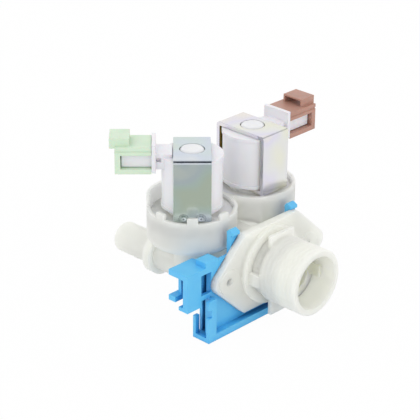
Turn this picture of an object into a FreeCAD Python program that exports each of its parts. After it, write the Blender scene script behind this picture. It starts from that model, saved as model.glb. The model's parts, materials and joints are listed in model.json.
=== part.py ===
import FreeCAD, Part
import math
import os

# Double water inlet valve of a washing machine, in millimetres.
# The origin is the centre of the flange's front face, on the inlet axis.
# The inlet points along -Y, the outlets along +Y, the two coils stand up along +Z,
# and the two valves lie side by side along X.

V = FreeCAD.Vector
Y_AXIS = V(0, 1, 0)
Z_AXIS = V(0, 0, 1)

# Fits between pieces
RUN_CLEARANCE = 0.08
SEAT_CLEARANCE = 0.05
FREE_CLEARANCE = 0.3

# Inlet spigot, whose outside is the crest of a 3/4 inch pipe thread
INLET_OD = 26.44
INLET_WALL = 2.6
INLET_LENGTH = 17.46
INLET_LEAD = 1.2
NECK_OD = 24.0
NECK_LENGTH = 4.6
COLLAR_OD = 31.4
COLLAR_LENGTH = 2.0
INLET_TUBE_WALL = 1.88
INLET_TUBE_STEP = 1.42
INLET_TUBE_END_WALL = 2.0

# Plates and nubs round the neck of the spigot, which stop the nut
TOP_PLATE_WIDTH = 12.8
TOP_PLATE_REACH = 15.3
BOTTOM_PLATE_WIDTH = 11.4
BOTTOM_PLATE_REACH = 18.1
STOP_PLATE_THICKNESS = 1.6
NUB_HEIGHT = 5.0
NUB_Z = -1.2
NUB_REACH = 13.6

# Flange
FLANGE_THICKNESS = 3.0
FLANGE_HALF_HEIGHT = 16.6
FLANGE_FLAT_LEFT = -13.8
FLANGE_FLAT_RIGHT = 16.4
FLANGE_LOBE_R = 4.5
FLANGE_LOBE_LEFT = -24.8
FLANGE_LOBE_RIGHT = 27.6
FLANGE_CORNER_ROUND = 1.6
SCREW_PITCH = 44.8
SCREW_HOLE_D = 3.2
SCREW_PAD_D = 10.2
SCREW_PAD_HEIGHT = 0.4

# Valve cups
CUP_PITCH = 33.5
LEFT_COIL_ANGLE = 135.0
RIGHT_COIL_ANGLE = 0.0
CUP_Y = 25.1
CUP_OD = 34.8
CUP_WALL = 2.2
CUP_BOTTOM = 7.6
CUP_FLOOR = 2.8
CUP_RIM = 21.7
CUP_BOTTOM_FILLET = 3.0
CUP_STEP = 15.6
CUP_THREAD_WALL = 1.5
TOOTH_WIDTH = 4.2
TOOTH_HEIGHT = 2.4
TOOTH_ROUND = 0.9
TOOTH_ROOT = 4.0
TOOTH_ANGLES = {"left": (180.0, 225.0, 270.0), "right": ()}
GUARD_TOP = 26.4
GUARD_START_ANGLE = 20.0
GUARD_END_ANGLE = 137.0
INLET_PORT_R = 2.8
INLET_PORT_X = 5.4
INLET_PORT_Y = 21.0

# Valve seat and outlet
SEAT_BORE = 8.8
SEAT_OD = 12.4
SEAT_TOP = 15.4
OUTLET_Z = -4.3
OUTLET_OD = 12.3
OUTLET_BORE = 8.0
OUTLET_TIP_Y = 63.5
OUTLET_TIP_ROUND = 1.6
OUTLET_ROOT_OD = 12.8
STUB_OD = 14.4
COLLAR_RING_OD = 17.2
COLLAR_RING_Y = 40.3
COLLAR_RING_LENGTH = 3.7

# Strainer and flow regulator
STRAINER_Y = -13.6
STRAINER_RIM_LENGTH = 2.4
STRAINER_RIM_WALL = 1.6
STRAINER_BASKET_OD = 16.0
STRAINER_BASKET_LENGTH = 11.0
STRAINER_BASKET_WALL = 1.0
STRAINER_SLOTS = 12
STRAINER_SLOT_WIDTH = 2.0
STRAINER_TAB_WIDTH = 4.6
STRAINER_TAB_LENGTH = 5.0
STRAINER_TAB_THICKNESS = 1.3
REGULATOR_Y = 1.2
REGULATOR_RING_LENGTH = 3.4
REGULATOR_RING_WALL = 2.0
REGULATOR_FLOOR = 1.2
REGULATOR_HOLE_D = 7.0
REGULATOR_DISC_THICKNESS = 2.0
REGULATOR_DISC_HOLE = 4.6

# Diaphragm
DIAPHRAGM_RIM_HEIGHT = 1.6
DIAPHRAGM_RIM_WALL = 1.8
DIAPHRAGM_SKIN = 0.7
INSERT_OD = 11.0
INSERT_PLATE = 1.0
INSERT_HUB_OD = 6.0
INSERT_HUB_RISE = 2.2
INSERT_NOSE_D = 4.8
INSERT_NOSE_END_D = 3.0
INSERT_STEM_LENGTH = 4.0
INSERT_PILOT_D = 1.4

# Guide tube and bonnet
BONNET_HEIGHT = 2.6
BONNET_ROOM_SIDE = 1.0
BONNET_ROOM_TOP = 0.2
BONNET_WELL_SIDE = 0.6
BONNET_WELL_DEPTH = 1.4
BONNET_HUB_OD = 18.0
TUBE_OD = 10.2
TUBE_WALL = 1.0
TUBE_END_STEP = 0.4
TUBE_END_SIDE = 1.7
TUBE_CROWN = 1.3
TUBE_END_WALL = 1.4
TUBE_PROUD = 0.4

# Plunger
PLUNGER_LENGTH = 21.6
DIAPHRAGM_LIFT = 1.6
PLUNGER_POCKET_GAP = 0.3
PLUNGER_POCKET_DEPTH = 8.0
PLUNGER_SEAL_D = 4.0
PLUNGER_SEAL_LENGTH = 2.2
PLUNGER_SEAL_PROUD = 0.5
PLUNGER_GROOVE_DEPTH = 0.5
PLUNGER_GROOVE_WIDTH = 1.2
SPRING_WIRE = 0.6
SPRING_TURNS = 6
SPRING_SIDES = 8
SPRING_ROOM = 0.8

# Yoke
YOKE_WIDTH = 14.3
YOKE_DEPTH = 24.8
YOKE_TOP = 45.2
YOKE_BOTTOM = 20.6
YOKE_SHEET = 1.5
YOKE_BEND = 1.3
YOKE_HOLE_GAP = 0.15
YOKE_PLATE_THICKNESS = 1.5
YOKE_PLATE_Z = 21.0
RIVET_D = 3.6
RIVET_Z = 21.9
RIVET_PITCH = 6.6
RIVET_DENT = 0.7

# Coil, whose outside is worked out from the tube that it stands round
WINDING_DEPTH = 3.15
COIL_SHELL = 1.6
COIL_LIP = 0.35
COIL_LIP_HEIGHT = 1.4
BOBBIN_WALL = 0.8
BOBBIN_FLANGE = 1.2
COIL_GAP = 0.1

# Connector, measured outwards from the coil's axis and by its height.
# The right one sits lower and reaches further out than the left one.
CONNECTOR_DROP = {"left": 0.0, "right": 1.0}
CONNECTOR_STRETCH = {"left": 0.0, "right": 1.5}
ARM_WIDTH = 10.2
ARM_BOTTOM = 38.9
ARM_TOP = 44.9
SHIELD_GAP = 2.0
SHIELD_THICKNESS = 1.6
SHIELD_WIDTH = 12.6
SHIELD_BOTTOM = 37.8
SHIELD_TOP = 49.0
TONGUE_LENGTH = 11.3
TONGUE_WIDTH = 8.6
TONGUE_BOTTOM = 39.6
TONGUE_TOP = 44.8
BLADE_WIDTH = 2.8
BLADE_THICKNESS = 0.6
BLADE_PITCH = 4.4
BLADE_ROOT = 1.2
BLADE_SET_BACK = 1.1
SOCKET_DEPTH = 8.6
ARM_GROOVE_TOP = 43.4
ARM_GROOVE_BOTTOM = 41.8
ARM_GROOVE_DEPTH = 1.2
SOCKET_WALL = 1.0

# Coding clip
CLIP_GAP = 0.1
CLIP_BEYOND_TONGUE = 2.45
CLIP_WIDTH = 12.6
CLIP_BOTTOM = 37.4
CLIP_TOP = 48.2
CLIP_TOP_PLATE = 3.3
CLIP_BOTTOM_PLATE = 2.0
CLIP_END_PLATE = 2.15
CLIP_TAB_LENGTH = 7.6
CLIP_TAB_OVERHANG = 2.05
CLIP_TAB_WIDTH = 9.6
CLIP_TAB_HEIGHT = 3.1
CLIP_TAB_WALL = 0.8
CLIP_GROOVE = 0.3
CLIP_GROOVE_Z = 46.2

# Bracket
BRACKET_SHEET = 1.6
BRACKET_LEFT = -30.5
BRACKET_RIGHT = 24.0
CHANNEL_LEFT = -33.2
CHANNEL_BACK = 8.4
CHANNEL_BOTTOM = -22.4
CHANNEL_FLOOR = 1.8
RAIL_TOP = -19.5
COLUMN_SHEET = 1.5
COLUMN_RIGHT = -29.0
COLUMN_TOP = -4.6
BACK_WALL_SHEET = 1.4
BACK_WALL_LEFT = -29.6
BACK_WALL_TOP = -7.0
TAB_WIDTH = 2.1
TAB_TOP = -13.0
NOTCH_WIDTH = 1.9
NOTCH_BOTTOM = -11.8
NOTCH_TOP = -8.4
BRACKET_TOP = 9.2
ARM_GAP = 0.4
HOOK_IN = 14.4
HOOK_OUT = 18.3
HOOK_TOP = 18.9
HOOK_NOSE_FRONT = 2.2
HOOK_NOSE_DROP = 1.0
HOOK_FRONT = 3.3
HOOK_BACK = 5.4
HOOK_ROUND = 0.9
HOOK_FOOT = 3.0
POST_WIDTH = 3.6
POST_DEPTH = 2.7
POST_LEFT = -28.9
POST_TOP = 10.2
POST_CAP_REACH = 3.0
HOLDER_LEFT = -41.6
HOLDER_ROOF_TOP = 8.0
HOLDER_ROOF = 2.3
HOLDER_BACK = 12.9
HOLDER_FRONT_WIDTH = 7.4
HOLDER_FRONT_DEPTH = 2.5
HOLDER_BOTTOM = -7.4
HOLDER_FOOT = 1.5
HOLDER_FOOT_DEPTH = 4.7
HOLDER_WEB_LEFT = -38.4
HOLDER_WEB_FRONT = 9.4
PRONG_TOP = -2.6
PRONG_THICKNESS = 2.2
BRIDGE_TOP = -2.8
BRIDGE_THICKNESS = 2.0

# Worked out from the sizes above
SPIGOT_START = -(COLLAR_LENGTH + NECK_LENGTH)
SPIGOT_END = SPIGOT_START - INLET_LENGTH
INLET_BORE = INLET_OD - 2 * INLET_WALL
INLET_TUBE_OD = INLET_BORE + 2 * INLET_TUBE_WALL
INLET_TUBE_BORE = INLET_BORE - 2 * INLET_TUBE_STEP
CUP_R = CUP_OD / 2
CUP_INNER_R = CUP_R - CUP_WALL
CUP_STEP_R = CUP_R - CUP_THREAD_WALL
CUP_FLOOR_TOP = CUP_BOTTOM + CUP_FLOOR
DIAPHRAGM_TOP = CUP_STEP + DIAPHRAGM_RIM_HEIGHT
BONNET_TOP = DIAPHRAGM_TOP + BONNET_HEIGHT
YOKE_INNER_DEPTH = YOKE_DEPTH - 2 * YOKE_SHEET
COIL_BOTTOM = YOKE_PLATE_Z + YOKE_PLATE_THICKNESS
COIL_TOP = YOKE_TOP - YOKE_SHEET
TUBE_TOP = YOKE_TOP + TUBE_PROUD
TUBE_SHOULDER = YOKE_TOP - YOKE_SHEET
CORE_BORE = TUBE_OD / 2 + FREE_CLEARANCE
WINDING_IN = CORE_BORE + BOBBIN_WALL + SEAT_CLEARANCE
WINDING_OUT = WINDING_IN + WINDING_DEPTH
COIL_R = WINDING_OUT + 2 * FREE_CLEARANCE + COIL_SHELL
SHIELD_IN = COIL_R + SHIELD_GAP
SHIELD_OUT = SHIELD_IN + SHIELD_THICKNESS
TONGUE_OUT = SHIELD_OUT + TONGUE_LENGTH
BLADE_IN = SHIELD_IN - BLADE_ROOT
BLADE_END = TONGUE_OUT - BLADE_SET_BACK
CLIP_IN = SHIELD_OUT + CLIP_GAP
CLIP_OUT = TONGUE_OUT + CLIP_BEYOND_TONGUE
CLIP_TAB_OUT = CLIP_OUT + CLIP_TAB_OVERHANG
CLIP_TAB_IN = CLIP_TAB_OUT - CLIP_TAB_LENGTH
PLUNGER_BOTTOM = DIAPHRAGM_TOP + INSERT_HUB_RISE + PLUNGER_SEAL_PROUD
PLUNGER_TOP = PLUNGER_BOTTOM + PLUNGER_LENGTH
TUBE_BORE = TUBE_OD - 2 * TUBE_WALL
TUBE_END_OD = TUBE_OD - 2 * TUBE_END_STEP
TUBE_END_BORE = TUBE_END_OD - 2 * TUBE_END_SIDE
SPRING_OD = TUBE_END_BORE - 2 * SPRING_ROOM
PLUNGER_D = TUBE_BORE - 2 * RUN_CLEARANCE
PLUNGER_POCKET_D = SPRING_OD + 2 * PLUNGER_POCKET_GAP
VALVES = (
    ("left", -CUP_PITCH / 2, LEFT_COIL_ANGLE),
    ("right", CUP_PITCH / 2, RIGHT_COIL_ANGLE),
)


def box(x0, x1, y0, y1, z0, z1):
    return Part.makeBox(x1 - x0, y1 - y0, z1 - z0, V(x0, y0, z0))


def cylinder_z(radius, z0, z1, x=0.0, y=0.0):
    return Part.makeCylinder(radius, z1 - z0, V(x, y, z0), Z_AXIS)


def cylinder_y(radius, y0, y1, x=0.0, z=0.0):
    return Part.makeCylinder(radius, y1 - y0, V(x, y0, z), Y_AXIS)


def ring_z(outer, inner, z0, z1):
    return cylinder_z(outer, z0, z1).cut(cylinder_z(inner, z0 - 1, z1 + 1))


def ring_y(outer, inner, y0, y1):
    return cylinder_y(outer, y0, y1).cut(cylinder_y(inner, y0 - 1, y1 + 1))


def prism_y(points, y0, y1):
    # A solid whose outline is given as (x, z) points, run along Y.
    corners = [V(x, y0, z) for x, z in points]
    face = Part.Face(Part.makePolygon(corners + [corners[0]]))
    return face.extrude(V(0, y1 - y0, 0))


def prism_x(points, x0, x1):
    # A solid whose outline is given as (y, z) points, run along X.
    corners = [V(x0, y, z) for y, z in points]
    face = Part.Face(Part.makePolygon(corners + [corners[0]]))
    return face.extrude(V(x1 - x0, 0, 0))


def fuse_all(shapes):
    return shapes[0].multiFuse(shapes[1:]).removeSplitter()


def edges_where(shape, test):
    return [edge for edge in shape.Edges if test(edge)]


def circle_edge_at(edge, axis, place, radius):
    # True for a full round edge of this radius that lies at this place along the axis.
    curve = edge.Curve
    if not isinstance(curve, Part.Circle):
        return False
    centre = curve.Center
    along = {"x": centre.x, "y": centre.y, "z": centre.z}[axis]
    return abs(along - place) < 0.01 and abs(curve.Radius - radius) < 0.01


def at_valve(shape, x, angle):
    # Moves a piece made round the Z axis, with its connector along +X, to its valve.
    moved = shape.copy()
    moved.rotate(V(0, 0, 0), Z_AXIS, angle)
    moved.translate(V(x, CUP_Y, 0))
    return moved


def lobe_touch(flat, lobe):
    # Where the slanted side of the flange touches the circle of its lobe, as (x, z).
    dx = abs(flat) - abs(lobe)
    dz = FLANGE_HALF_HEIGHT
    reach = math.hypot(dx, dz)
    angle = math.atan2(dz, dx) - math.acos(FLANGE_LOBE_R / reach)
    side = math.copysign(1.0, lobe)
    return lobe + side * FLANGE_LOBE_R * math.cos(angle), FLANGE_LOBE_R * math.sin(angle)


def flange_outline_solid():
    left = FLANGE_FLAT_LEFT
    right = FLANGE_FLAT_RIGHT
    high = FLANGE_HALF_HEIGHT
    left_x, left_z = lobe_touch(left, FLANGE_LOBE_LEFT)
    right_x, right_z = lobe_touch(right, FLANGE_LOBE_RIGHT)
    left_tip = FLANGE_LOBE_LEFT - FLANGE_LOBE_R
    right_tip = FLANGE_LOBE_RIGHT + FLANGE_LOBE_R

    def point(x, z):
        return V(x, 0, z)

    edges = [
        Part.makeLine(point(left, high), point(right, high)),
        Part.makeLine(point(right, high), point(right_x, right_z)),
        Part.Arc(point(right_x, right_z), point(right_tip, 0), point(right_x, -right_z)).toShape(),
        Part.makeLine(point(right_x, -right_z), point(right, -high)),
        Part.makeLine(point(right, -high), point(left, -high)),
        Part.makeLine(point(left, -high), point(left_x, -left_z)),
        Part.Arc(point(left_x, -left_z), point(left_tip, 0), point(left_x, left_z)).toShape(),
        Part.makeLine(point(left_x, left_z), point(left, high)),
    ]
    solid = Part.Face(Part.Wire(edges)).extrude(V(0, FLANGE_THICKNESS, 0))

    def is_corner(edge):
        middle = edge.CenterOfMass
        at_end = min(abs(middle.x - left), abs(middle.x - right)) < 0.01
        return at_end and abs(abs(middle.z) - high) < 0.01

    return solid.makeFillet(FLANGE_CORNER_ROUND, edges_where(solid, is_corner))


def screw_places():
    return (-SCREW_PITCH / 2, SCREW_PITCH / 2)


def screw_pads():
    pads = []
    for x in screw_places():
        pads.append(cylinder_y(SCREW_PAD_D / 2, -SCREW_PAD_HEIGHT, FLANGE_THICKNESS, x))
    return pads


def screw_holes():
    holes = []
    for x in screw_places():
        holes.append(cylinder_y(SCREW_HOLE_D / 2, -2, FLANGE_THICKNESS + 2, x))
    return holes


def spigot():
    outer = cylinder_y(INLET_OD / 2, SPIGOT_END, SPIGOT_START)
    tip = edges_where(outer, lambda e: circle_edge_at(e, "y", SPIGOT_END, INLET_OD / 2))
    outer = outer.makeChamfer(INLET_LEAD / 2, tip)
    neck = cylinder_y(NECK_OD / 2, SPIGOT_START, 0)
    collar = cylinder_y(COLLAR_OD / 2, -COLLAR_LENGTH, FLANGE_THICKNESS)
    plate_end = SPIGOT_START + STOP_PLATE_THICKNESS
    half = TOP_PLATE_WIDTH / 2
    top_plate = box(-half, half, SPIGOT_START, plate_end, 0, TOP_PLATE_REACH)
    half = BOTTOM_PLATE_WIDTH / 2
    bottom_plate = box(-half, half, SPIGOT_START, plate_end, -BOTTOM_PLATE_REACH, 0)
    low = NUB_Z - NUB_HEIGHT / 2
    nubs = box(-NUB_REACH, NUB_REACH, SPIGOT_START, 0, low, low + NUB_HEIGHT)
    return [outer, neck, collar, top_plate, bottom_plate, nubs]


def cup_outside(x):
    outer = cylinder_z(CUP_R, CUP_BOTTOM, CUP_RIM, x, CUP_Y)
    bottom = edges_where(outer, lambda e: circle_edge_at(e, "z", CUP_BOTTOM, CUP_R))
    return outer.makeFillet(CUP_BOTTOM_FILLET, bottom)


def cup_inside(x):
    hollow = cylinder_z(CUP_INNER_R, CUP_FLOOR_TOP, CUP_RIM + 1, x, CUP_Y)
    seat = cylinder_z(CUP_STEP_R, CUP_STEP, CUP_RIM + 1, x, CUP_Y)
    return hollow.fuse(seat)


def arc_wall(x, start, span, z0, z1):
    # A stretch of the cup's wall, from a start angle and over a span in degrees.
    outer = Part.makeCylinder(CUP_R, z1 - z0, V(0, 0, z0), Z_AXIS, span)
    inner = cylinder_z(CUP_STEP_R, z0 - 1, z1 + 1)
    wall = outer.cut(inner)
    wall.rotate(V(0, 0, 0), Z_AXIS, start)
    wall.translate(V(x, CUP_Y, 0))
    return wall


def cup_teeth(side, x):
    teeth = []
    half = TOOTH_WIDTH / 2
    top = CUP_RIM + TOOTH_HEIGHT
    for angle in TOOTH_ANGLES[side]:
        block = box(CUP_R - TOOTH_ROOT, CUP_R + 1, -half, half, CUP_RIM - 1, top)
        corners = edges_where(
            block, lambda e: abs(e.CenterOfMass.z - top) < 0.01 and abs(e.CenterOfMass.y) > 1)
        block = block.makeFillet(TOOTH_ROUND, corners)
        tooth = block.common(ring_z(CUP_R, CUP_STEP_R, CUP_RIM - 1, top))
        tooth.rotate(V(0, 0, 0), Z_AXIS, angle)
        tooth.translate(V(x, CUP_Y, 0))
        teeth.append(tooth)
    return teeth


def outlet_outside(x):
    stub = cylinder_z(STUB_OD / 2, OUTLET_Z, CUP_BOTTOM + 1, x, CUP_Y)
    elbow = Part.makeSphere(STUB_OD / 2, V(x, CUP_Y, OUTLET_Z))
    tube = cylinder_y(OUTLET_OD / 2, CUP_Y, OUTLET_TIP_Y, x, OUTLET_Z)
    tip = edges_where(tube, lambda e: circle_edge_at(e, "y", OUTLET_TIP_Y, OUTLET_OD / 2))
    tube = tube.makeFillet(OUTLET_TIP_ROUND, tip)
    ring_end = COLLAR_RING_Y + COLLAR_RING_LENGTH
    root = cylinder_y(OUTLET_ROOT_OD / 2, CUP_Y, ring_end, x, OUTLET_Z)
    ring = cylinder_y(COLLAR_RING_OD / 2, COLLAR_RING_Y, ring_end, x, OUTLET_Z)
    return [stub, elbow, tube, root, ring]


def outlet_inside(x):
    down = cylinder_z(SEAT_BORE / 2, OUTLET_Z, CUP_RIM, x, CUP_Y)
    elbow = Part.makeSphere(SEAT_BORE / 2, V(x, CUP_Y, OUTLET_Z))
    along = cylinder_y(OUTLET_BORE / 2, CUP_Y, OUTLET_TIP_Y + 1, x, OUTLET_Z)
    return [down, elbow, along]


def valve_body():
    tube_end = INLET_PORT_Y + INLET_PORT_R + 0.6
    solids = [flange_outline_solid()]
    solids += screw_pads()
    solids += spigot()
    solids.append(cylinder_y(INLET_TUBE_OD / 2, 0, tube_end + INLET_TUBE_END_WALL))
    for name, x, angle in VALVES:
        solids.append(cup_outside(x))
        solids += outlet_outside(x)
        solids += cup_teeth(name, x)
    body = fuse_all(solids)
    stop = REGULATOR_Y + REGULATOR_RING_LENGTH
    hollows = [
        cylinder_y(INLET_BORE / 2, SPIGOT_END - 1, stop),
        cylinder_y(INLET_TUBE_BORE / 2, SPIGOT_END - 1, tube_end),
    ]
    for name, x, angle in VALVES:
        hollows.append(cup_inside(x))
    body = body.cut(hollows)
    extras = []
    span = GUARD_END_ANGLE - GUARD_START_ANGLE
    for name, x, angle in VALVES:
        extras.append(cylinder_z(SEAT_OD / 2, CUP_FLOOR_TOP - 1, SEAT_TOP, x, CUP_Y))
        extras.append(arc_wall(x, GUARD_START_ANGLE, span, CUP_RIM - 1, GUARD_TOP))
    body = body.multiFuse(extras)
    ports = screw_holes()
    for name, x, angle in VALVES:
        ports += outlet_inside(x)
        side = math.copysign(INLET_PORT_X, x)
        ports.append(cylinder_z(INLET_PORT_R, 2, CUP_FLOOR_TOP + 1, side, INLET_PORT_Y))
    return body.cut(ports).removeSplitter()


def inlet_strainer():
    bore = INLET_BORE / 2 - SEAT_CLEARANCE
    rim_end = STRAINER_Y + STRAINER_RIM_LENGTH
    end = STRAINER_Y + STRAINER_BASKET_LENGTH
    basket_r = STRAINER_BASKET_OD / 2
    inner_r = basket_r - STRAINER_BASKET_WALL
    rim = cylinder_y(bore, STRAINER_Y, rim_end)
    basket = cylinder_y(basket_r, STRAINER_Y, end)
    hollow = cylinder_y(inner_r, STRAINER_Y - 1, end - STRAINER_BASKET_WALL)
    sieve = rim.fuse(basket).cut(hollow)
    slots = []
    slot_start = rim_end + STRAINER_BASKET_WALL
    slot_end = end - 2 * STRAINER_BASKET_WALL
    half = STRAINER_SLOT_WIDTH / 2
    for index in range(STRAINER_SLOTS // 2):
        slot = box(-half, half, slot_start, slot_end, -basket_r - 1, basket_r + 1)
        slot.rotate(V(0, 0, 0), Y_AXIS, index * 360.0 / STRAINER_SLOTS)
        slots.append(slot)
    sieve = sieve.cut(slots)
    tab_r = bore - STRAINER_RIM_WALL
    tab_start = STRAINER_Y - STRAINER_TAB_LENGTH
    half = STRAINER_TAB_WIDTH / 2
    tab = box(tab_r - STRAINER_TAB_THICKNESS, tab_r, tab_start, rim_end, -half, half)
    tab = tab.cut(hollow)
    return sieve.fuse(tab).removeSplitter()


def flow_regulator_ring():
    bore = INLET_BORE / 2 - SEAT_CLEARANCE
    end = REGULATOR_Y + REGULATOR_RING_LENGTH
    ring = cylinder_y(bore, REGULATOR_Y, end)
    pocket = cylinder_y(bore - REGULATOR_RING_WALL, REGULATOR_Y - 1, end - REGULATOR_FLOOR)
    hole = cylinder_y(REGULATOR_HOLE_D / 2, REGULATOR_Y, end + 1)
    return ring.cut([pocket, hole])


def flow_regulator_disc():
    pocket_r = INLET_BORE / 2 - SEAT_CLEARANCE - REGULATOR_RING_WALL
    floor = REGULATOR_Y + REGULATOR_RING_LENGTH - REGULATOR_FLOOR
    start = floor - REGULATOR_DISC_THICKNESS
    return ring_y(pocket_r - SEAT_CLEARANCE, REGULATOR_DISC_HOLE / 2, start, floor)


def diaphragm():
    rim_r = CUP_STEP_R - SEAT_CLEARANCE
    rim = ring_z(rim_r, rim_r - DIAPHRAGM_RIM_WALL, CUP_STEP, DIAPHRAGM_TOP)
    skin_z = DIAPHRAGM_TOP - DIAPHRAGM_SKIN
    skin = ring_z(rim_r - 0.5, INSERT_HUB_OD / 2 + SEAT_CLEARANCE, skin_z, DIAPHRAGM_TOP)
    pad_low = SEAT_TOP
    pad = ring_z(SEAT_OD / 2 + 1.2, INSERT_HUB_OD / 2 + SEAT_CLEARANCE, pad_low, DIAPHRAGM_TOP)
    return fuse_all([rim, skin, pad])


def diaphragm_insert():
    plate_top = DIAPHRAGM_TOP + INSERT_PLATE
    plate = cylinder_z(INSERT_OD / 2, DIAPHRAGM_TOP, plate_top)
    hub = cylinder_z(INSERT_HUB_OD / 2, SEAT_TOP - INSERT_STEM_LENGTH, plate_top)
    nose_height = INSERT_HUB_RISE - INSERT_PLATE
    nose = Part.makeCone(INSERT_NOSE_D / 2, INSERT_NOSE_END_D / 2, nose_height, V(0, 0, plate_top), Z_AXIS)
    pilot_start = SEAT_TOP - INSERT_STEM_LENGTH - 1
    pilot = cylinder_z(INSERT_PILOT_D / 2, pilot_start, PLUNGER_BOTTOM)
    return fuse_all([plate, hub, nose]).cut(pilot)


def guide_tube():
    bonnet_r = CUP_STEP_R - SEAT_CLEARANCE
    bonnet = cylinder_z(bonnet_r, DIAPHRAGM_TOP, BONNET_TOP)
    hub = cylinder_z(BONNET_HUB_OD / 2, DIAPHRAGM_TOP, YOKE_PLATE_Z)
    tube = cylinder_z(TUBE_OD / 2, DIAPHRAGM_TOP, TUBE_SHOULDER)
    end = cylinder_z(TUBE_END_OD / 2, DIAPHRAGM_TOP, TUBE_TOP)
    crown = edges_where(end, lambda e: circle_edge_at(e, "z", TUBE_TOP, TUBE_END_OD / 2))
    end = end.makeFillet(TUBE_CROWN, crown)
    bore = cylinder_z(TUBE_BORE / 2, DIAPHRAGM_TOP - 1, TUBE_SHOULDER)
    end_bore = cylinder_z(TUBE_END_BORE / 2, DIAPHRAGM_TOP - 1, TUBE_TOP - TUBE_END_WALL)
    room_r = INSERT_OD / 2 + BONNET_ROOM_SIDE
    room_top = DIAPHRAGM_TOP + INSERT_PLATE + DIAPHRAGM_LIFT + BONNET_ROOM_TOP
    room = cylinder_z(room_r, DIAPHRAGM_TOP - 1, room_top)
    well_r = CUP_STEP_R - DIAPHRAGM_RIM_WALL - BONNET_WELL_SIDE
    well = cylinder_z(well_r, DIAPHRAGM_TOP - 1, DIAPHRAGM_TOP + BONNET_WELL_DEPTH)
    return fuse_all([bonnet, hub, tube, end]).cut([bore, end_bore, room, well]).removeSplitter()


def plunger():
    rod = cylinder_z(PLUNGER_D / 2, PLUNGER_BOTTOM, PLUNGER_TOP)
    pocket = cylinder_z(PLUNGER_POCKET_D / 2, PLUNGER_TOP - PLUNGER_POCKET_DEPTH, PLUNGER_TOP + 1)
    seal_top = PLUNGER_BOTTOM + PLUNGER_SEAL_LENGTH
    seat = cylinder_z(PLUNGER_SEAL_D / 2, PLUNGER_BOTTOM - 1, seal_top)
    grooves = []
    deep = PLUNGER_GROOVE_DEPTH
    half = PLUNGER_GROOVE_WIDTH / 2
    for side in (-1, 1):
        edge = side * PLUNGER_D / 2
        grooves.append(box(edge - deep, edge + deep, -half, half, PLUNGER_BOTTOM - 1, PLUNGER_TOP + 1))
    return rod.cut([pocket, seat] + grooves)


def plunger_seal():
    top = PLUNGER_BOTTOM + PLUNGER_SEAL_LENGTH - SEAT_CLEARANCE
    radius = PLUNGER_SEAL_D / 2 - SEAT_CLEARANCE
    return cylinder_z(radius, PLUNGER_BOTTOM - PLUNGER_SEAL_PROUD, top)


def plunger_spring():
    low = PLUNGER_TOP - PLUNGER_POCKET_DEPTH + SPRING_WIRE / 2 + SEAT_CLEARANCE
    high = TUBE_TOP - TUBE_END_WALL - SPRING_WIRE / 2 - SEAT_CLEARANCE
    radius = (SPRING_OD - SPRING_WIRE) / 2
    pitch = (high - low) / SPRING_TURNS
    helix = Part.makeHelix(pitch, high - low, radius)
    helix.translate(V(0, 0, low))
    wire = Part.Wire(helix.Edges)
    along = V(0, 2 * math.pi * radius, pitch)
    round_section = Part.makeCircle(SPRING_WIRE / 2, V(radius, 0, low), along)
    section = Part.makePolygon(round_section.discretize(SPRING_SIDES + 1))
    return wire.makePipeShell([section], True, True)


def yoke():
    half_w = YOKE_WIDTH / 2
    half_d = YOKE_DEPTH / 2
    outer = box(-half_w, half_w, -half_d, half_d, YOKE_BOTTOM, YOKE_TOP)

    def is_bend(edge, y, z):
        middle = edge.CenterOfMass
        return abs(abs(middle.y) - y) < 0.01 and abs(middle.z - z) < 0.01

    outer = outer.makeFillet(YOKE_BEND, edges_where(outer, lambda e: is_bend(e, half_d, YOKE_TOP)))
    inner_d = YOKE_INNER_DEPTH / 2
    inner_top = YOKE_TOP - YOKE_SHEET
    inner = box(-half_w - 1, half_w + 1, -inner_d, inner_d, YOKE_BOTTOM - 1, inner_top)
    frame = outer.cut(inner)
    hole = cylinder_z(TUBE_END_OD / 2 + YOKE_HOLE_GAP, YOKE_BOTTOM, YOKE_TOP + 1)
    stakes = []
    for x in rivet_places():
        stakes.append(cylinder_y(RIVET_D / 2, 0, half_d + 1, x, RIVET_Z))
    return frame.cut([hole] + stakes)


def rivet_places():
    return (-RIVET_PITCH / 2, RIVET_PITCH / 2)


def yoke_plate():
    half_w = YOKE_WIDTH / 2
    inner_d = YOKE_INNER_DEPTH / 2
    top = YOKE_PLATE_Z + YOKE_PLATE_THICKNESS
    plate = box(-half_w, half_w, -inner_d, inner_d, YOKE_PLATE_Z, top)
    stakes = []
    radius = RIVET_D / 2 - SEAT_CLEARANCE
    room = box(-half_w, half_w, 0, YOKE_DEPTH, YOKE_BOTTOM + SEAT_CLEARANCE, top + RIVET_D)
    for x in rivet_places():
        stake = cylinder_y(radius, inner_d, YOKE_DEPTH / 2, x, RIVET_Z)
        stakes.append(stake.common(room))
    hole = cylinder_z(TUBE_OD / 2 + SEAT_CLEARANCE, YOKE_PLATE_Z - 1, top + 1)
    plate = plate.multiFuse(stakes)
    dents = []
    deep = YOKE_DEPTH / 2 - RIVET_DENT
    for x in rivet_places():
        dents.append(Part.makeCone(0.2, radius * 0.7, RIVET_DENT, V(x, deep, RIVET_Z + 0.3), Y_AXIS))
    return plate.cut([hole] + dents).removeSplitter()


def coil_bobbin():
    bore = CORE_BORE
    core = bore + BOBBIN_WALL
    rim = COIL_R - COIL_SHELL - FREE_CLEARANCE
    low = COIL_BOTTOM + COIL_GAP + COIL_SHELL
    high = COIL_TOP - COIL_GAP - COIL_SHELL
    flat = YOKE_INNER_DEPTH / 2 - COIL_GAP - COIL_SHELL / 2 - SEAT_CLEARANCE
    core_tube = cylinder_z(core, low, high)
    lower = cylinder_z(rim, low, low + BOBBIN_FLANGE)
    upper = cylinder_z(rim, high - BOBBIN_FLANGE, high)
    spool = fuse_all([core_tube, lower, upper])
    spool = spool.common(box(-rim - 1, rim + 1, -flat, flat, low, high))
    return spool.cut(cylinder_z(bore, low - 1, high + 1))


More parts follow.
